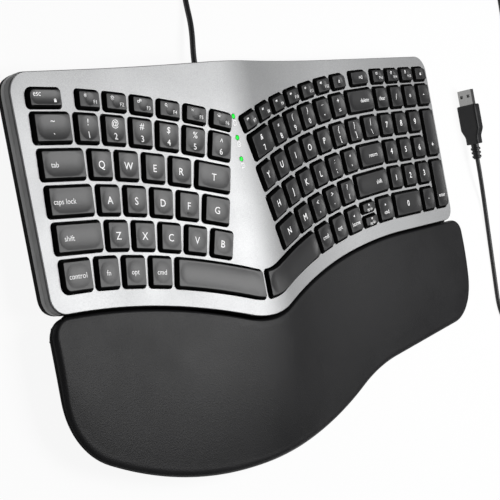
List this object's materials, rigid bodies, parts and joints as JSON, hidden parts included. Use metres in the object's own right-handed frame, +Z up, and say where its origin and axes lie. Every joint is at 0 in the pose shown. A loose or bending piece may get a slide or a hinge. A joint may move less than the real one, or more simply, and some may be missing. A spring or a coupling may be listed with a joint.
{
  "type": "ergonomic keyboard",
  "caption": "Wired gull-wing keyboard: split curved key rows and a number pad in a silver deck on a dark case, with a bellied, padded palm rest in front.",
  "frame": {"origin": "middle of the footprint without the cord, on the desk", "axes": "+X along the key rows to the number pad, +Y to the back edge, +Z up from the desk"},
  "size_m": [0.5781, 0.3317, 0.0329],
  "materials": {
    "keycap_black": "satin moulded plastic with printed white legends",
    "plate_silver": "satin silver paint",
    "frame_black": "matte moulded plastic",
    "dome_rubber": "soft translucent rubber",
    "membrane_film": "printed film",
    "base_steel": "plain stamped sheet",
    "band_grey": "satin grey plastic",
    "shell_black": "fine textured plastic",
    "screw_steel": "zinc plated",
    "light_green": "clear light guide, lit green",
    "foot_rubber": "matte rubber",
    "palm_base_grey": "fine textured plastic",
    "palm_leather": "smooth matte padded leatherette",
    "board_green": "solder mask",
    "cord_black": "satin cable jacket",
    "plug_black": "moulded soft plastic",
    "plug_metal": "nickel plate",
    "plug_plastic": "white insulator"
  },
  "bodies": {
    "case": {"top_plate": "plate_silver", "key_frame": "frame_black", "dome_sheet": "dome_rubber", "membrane": "membrane_film", "base_plate": "base_steel", "side_band": "band_grey", "bottom_shell": "shell_black", "case_screws": "screw_steel", "led_lenses": "light_green", "rubber_feet": "foot_rubber", "palm_rest_base": "palm_base_grey", "palm_rest_cushion": "palm_leather", "controller_board": "board_green", "cord_gland": "cord_black", "cord_tube_near": "cord_black", "cord_coil": "cord_black", "cord_tube_far": "cord_black", "plug_overmold": "plug_black", "plug_strain_relief": "plug_black", "plug_shell": "plug_metal", "plug_tongue": "plug_plastic"},
    "arrow_keys": {"arrow_keys": "keycap_black"},
    "delete": {"delete": "keycap_black"},
    "function_keys": {"function_keys": "keycap_black"},
    "key_a": {"key_a": "keycap_black"},
    "key_b": {"key_b": "keycap_black"},
    "key_c": {"key_c": "keycap_black"},
    "key_d": {"key_d": "keycap_black"},
    "key_e": {"key_e": "keycap_black"},
    "key_f": {"key_f": "keycap_black"},
    "key_g": {"key_g": "keycap_black"},
    "key_h": {"key_h": "keycap_black"},
    "key_i": {"key_i": "keycap_black"},
    "key_j": {"key_j": "keycap_black"},
    "key_k": {"key_k": "keycap_black"},
    "key_l": {"key_l": "keycap_black"},
    "key_m": {"key_m": "keycap_black"},
    "key_n": {"key_n": "keycap_black"},
    "key_o": {"key_o": "keycap_black"},
    "key_p": {"key_p": "keycap_black"},
    "key_q": {"key_q": "keycap_black"},
    "key_r": {"key_r": "keycap_black"},
    "key_s": {"key_s": "keycap_black"},
    "key_t": {"key_t": "keycap_black"},
    "key_u": {"key_u": "keycap_black"},
    "key_v": {"key_v": "keycap_black"},
    "key_w": {"key_w": "keycap_black"},
    "key_x": {"key_x": "keycap_black"},
    "key_y": {"key_y": "keycap_black"},
    "key_z": {"key_z": "keycap_black"},
    "modifier_keys": {"modifier_keys": "keycap_black"},
    "number_keys": {"number_keys": "keycap_black"},
    "numpad_keys": {"numpad_keys": "keycap_black"},
    "punctuation_keys": {"punctuation_keys": "keycap_black"},
    "return": {"return": "keycap_black"},
    "shift_left": {"shift_left": "keycap_black"},
    "shift_right": {"shift_right": "keycap_black"},
    "space_bar_left": {"space_bar_left": "keycap_black"},
    "space_bar_right": {"space_bar_right": "keycap_black"}
  },
  "joints": [
    {"name": "arrow_keys_press", "type": "slide", "parent": "case", "child": "arrow_keys", "axis": [0, 0, -1], "range_m": [0, 0.0025], "stiffness_N_per_m": 480, "springref_m": -0.002, "deforming": ["dome_sheet"]},
    {"name": "delete_press", "type": "slide", "parent": "case", "child": "delete", "axis": [-0.0035, 0, -1], "range_m": [0, 0.0025], "stiffness_N_per_m": 120, "springref_m": -0.002, "deforming": ["dome_sheet"]},
    {"name": "function_keys_press", "type": "slide", "parent": "case", "child": "function_keys", "axis": [0, 0, -1], "range_m": [0, 0.0025], "stiffness_N_per_m": 2280, "springref_m": -0.002, "deforming": ["dome_sheet"]},
    {"name": "key_a_press", "type": "slide", "parent": "case", "child": "key_a", "axis": [0.0087, 0, -1], "range_m": [0, 0.0025], "stiffness_N_per_m": 120, "springref_m": -0.002, "deforming": ["dome_sheet"]},
    {"name": "key_b_press", "type": "slide", "parent": "case", "child": "key_b", "axis": [0.1515, 0, -0.9885], "range_m": [0, 0.0025], "stiffness_N_per_m": 120, "springref_m": -0.002, "deforming": ["dome_sheet"]},
    {"name": "key_c_press", "type": "slide", "parent": "case", "child": "key_c", "axis": [0.0819, 0, -0.9966], "range_m": [0, 0.0025], "stiffness_N_per_m": 120, "springref_m": -0.002, "deforming": ["dome_sheet"]},
    {"name": "key_d_press", "type": "slide", "parent": "case", "child": "key_d", "axis": [0.0796, 0, -0.9968], "range_m": [0, 0.0025], "stiffness_N_per_m": 120, "springref_m": -0.002, "deforming": ["dome_sheet"]},
    {"name": "key_e_press", "type": "slide", "parent": "case", "child": "key_e", "axis": [0.0776, 0, -0.997], "range_m": [0, 0.0025], "stiffness_N_per_m": 120, "springref_m": -0.002, "deforming": ["dome_sheet"]},
    {"name": "key_f_press", "type": "slide", "parent": "case", "child": "key_f", "axis": [0.1146, 0, -0.9934], "range_m": [0, 0.0025], "stiffness_N_per_m": 120, "springref_m": -0.002, "deforming": ["dome_sheet"]},
    {"name": "key_g_press", "type": "slide", "parent": "case", "child": "key_g", "axis": [0.1524, 0, -0.9883], "range_m": [0, 0.0025], "stiffness_N_per_m": 120, "springref_m": -0.002, "deforming": ["dome_sheet"]},
    {"name": "key_h_press", "type": "slide", "parent": "case", "child": "key_h", "axis": [-0.1668, 0, -0.986], "range_m": [0, 0.0025], "stiffness_N_per_m": 120, "springref_m": -0.002, "deforming": ["dome_sheet"]},
    {"name": "key_i_press", "type": "slide", "parent": "case", "child": "key_i", "axis": [-0.1087, 0, -0.9941], "range_m": [0, 0.0025], "stiffness_N_per_m": 120, "springref_m": -0.002, "deforming": ["dome_sheet"]},
    {"name": "key_j_press", "type": "slide", "parent": "case", "child": "key_j", "axis": [-0.1295, 0, -0.9916], "range_m": [0, 0.0025], "stiffness_N_per_m": 120, "springref_m": -0.002, "deforming": ["dome_sheet"]},
    {"name": "key_k_press", "type": "slide", "parent": "case", "child": "key_k", "axis": [-0.0946, 0, -0.9955], "range_m": [0, 0.0025], "stiffness_N_per_m": 120, "springref_m": -0.002, "deforming": ["dome_sheet"]},
    {"name": "key_l_press", "type": "slide", "parent": "case", "child": "key_l", "axis": [-0.0593, 0, -0.9982], "range_m": [0, 0.0025], "stiffness_N_per_m": 120, "springref_m": -0.002, "deforming": ["dome_sheet"]},
    {"name": "key_m_press", "type": "slide", "parent": "case", "child": "key_m", "axis": [-0.1126, 0, -0.9936], "range_m": [0, 0.0025], "stiffness_N_per_m": 120, "springref_m": -0.002, "deforming": ["dome_sheet"]},
    {"name": "key_n_press", "type": "slide", "parent": "case", "child": "key_n", "axis": [-0.1542, 0, -0.988], "range_m": [0, 0.0025], "stiffness_N_per_m": 120, "springref_m": -0.002, "deforming": ["dome_sheet"]},
    {"name": "key_o_press", "type": "slide", "parent": "case", "child": "key_o", "axis": [-0.0735, 0, -0.9973], "range_m": [0, 0.0025], "stiffness_N_per_m": 120, "springref_m": -0.002, "deforming": ["dome_sheet"]},
    {"name": "key_p_press", "type": "slide", "parent": "case", "child": "key_p", "axis": [-0.0381, 0, -0.9993], "range_m": [0, 0.0025], "stiffness_N_per_m": 120, "springref_m": -0.002, "deforming": ["dome_sheet"]},
    {"name": "key_q_press", "type": "slide", "parent": "case", "child": "key_q", "axis": [0.0066, 0, -1], "range_m": [0, 0.0025], "stiffness_N_per_m": 120, "springref_m": -0.002, "deforming": ["dome_sheet"]},
    {"name": "key_r_press", "type": "slide", "parent": "case", "child": "key_r", "axis": [0.1128, 0, -0.9936], "range_m": [0, 0.0025], "stiffness_N_per_m": 120, "springref_m": -0.002, "deforming": ["dome_sheet"]},
    {"name": "key_s_press", "type": "slide", "parent": "case", "child": "key_s", "axis": [0.0442, 0, -0.999], "range_m": [0, 0.0025], "stiffness_N_per_m": 120, "springref_m": -0.002, "deforming": ["dome_sheet"]},
    {"name": "key_t_press", "type": "slide", "parent": "case", "child": "key_t", "axis": [0.1563, 0, -0.9877], "range_m": [0, 0.0025], "stiffness_N_per_m": 120, "springref_m": -0.002, "deforming": ["dome_sheet"]},
    {"name": "key_u_press", "type": "slide", "parent": "case", "child": "key_u", "axis": [-0.1436, 0, -0.9896], "range_m": [0, 0.0025], "stiffness_N_per_m": 120, "springref_m": -0.002, "deforming": ["dome_sheet"]},
    {"name": "key_v_press", "type": "slide", "parent": "case", "child": "key_v", "axis": [0.1169, 0, -0.9931], "range_m": [0, 0.0025], "stiffness_N_per_m": 120, "springref_m": -0.002, "deforming": ["dome_sheet"]},
    {"name": "key_w_press", "type": "slide", "parent": "case", "child": "key_w", "axis": [0.0422, 0, -0.9991], "range_m": [0, 0.0025], "stiffness_N_per_m": 120, "springref_m": -0.002, "deforming": ["dome_sheet"]},
    {"name": "key_x_press", "type": "slide", "parent": "case", "child": "key_x", "axis": [0.0466, 0, -0.9989], "range_m": [0, 0.0025], "stiffness_N_per_m": 120, "springref_m": -0.002, "deforming": ["dome_sheet"]},
    {"name": "key_y_press", "type": "slide", "parent": "case", "child": "key_y", "axis": [-0.1531, 0, -0.9882], "range_m": [0, 0.0025], "stiffness_N_per_m": 120, "springref_m": -0.002, "deforming": ["dome_sheet"]},
    {"name": "key_z_press", "type": "slide", "parent": "case", "child": "key_z", "axis": [0.0111, 0, -0.9999], "range_m": [0, 0.0025], "stiffness_N_per_m": 120, "springref_m": -0.002, "deforming": ["dome_sheet"]},
    {"name": "modifier_keys_press", "type": "slide", "parent": "case", "child": "modifier_keys", "axis": [0, 0, -1], "range_m": [0, 0.0025], "stiffness_N_per_m": 960, "springref_m": -0.002, "deforming": ["dome_sheet"]},
    {"name": "number_keys_press", "type": "slide", "parent": "case", "child": "number_keys", "axis": [0, 0, -1], "range_m": [0, 0.0025], "stiffness_N_per_m": 1200, "springref_m": -0.002, "deforming": ["dome_sheet"]},
    {"name": "numpad_keys_press", "type": "slide", "parent": "case", "child": "numpad_keys", "axis": [0, 0, -1], "range_m": [0, 0.0025], "stiffness_N_per_m": 2040, "springref_m": -0.002, "deforming": ["dome_sheet"]},
    {"name": "punctuation_keys_press", "type": "slide", "parent": "case", "child": "punctuation_keys", "axis": [0, 0, -1], "range_m": [0, 0.0025], "stiffness_N_per_m": 1320, "springref_m": -0.002, "deforming": ["dome_sheet"]},
    {"name": "return_press", "type": "slide", "parent": "case", "child": "return", "axis": [-0.0035, 0, -1], "range_m": [0, 0.0025], "stiffness_N_per_m": 120, "springref_m": -0.002, "deforming": ["dome_sheet"]},
    {"name": "shift_left_press", "type": "slide", "parent": "case", "child": "shift_left", "axis": [0.0035, 0, -1], "range_m": [0, 0.0025], "stiffness_N_per_m": 120, "springref_m": -0.002, "deforming": ["dome_sheet"]},
    {"name": "shift_right_press", "type": "slide", "parent": "case", "child": "shift_right", "axis": [-0.0035, 0, -1], "range_m": [0, 0.0025], "stiffness_N_per_m": 120, "springref_m": -0.002, "deforming": ["dome_sheet"]},
    {"name": "space_bar_left_press", "type": "slide", "parent": "case", "child": "space_bar_left", "axis": [0, 0, -1], "range_m": [0, 0.0025], "stiffness_N_per_m": 360, "springref_m": -0.002, "deforming": ["dome_sheet"]},
    {"name": "space_bar_right_press", "type": "slide", "parent": "case", "child": "space_bar_right", "axis": [0, 0, -1], "range_m": [0, 0.0025], "stiffness_N_per_m": 360, "springref_m": -0.002, "deforming": ["dome_sheet"]}
  ]
}
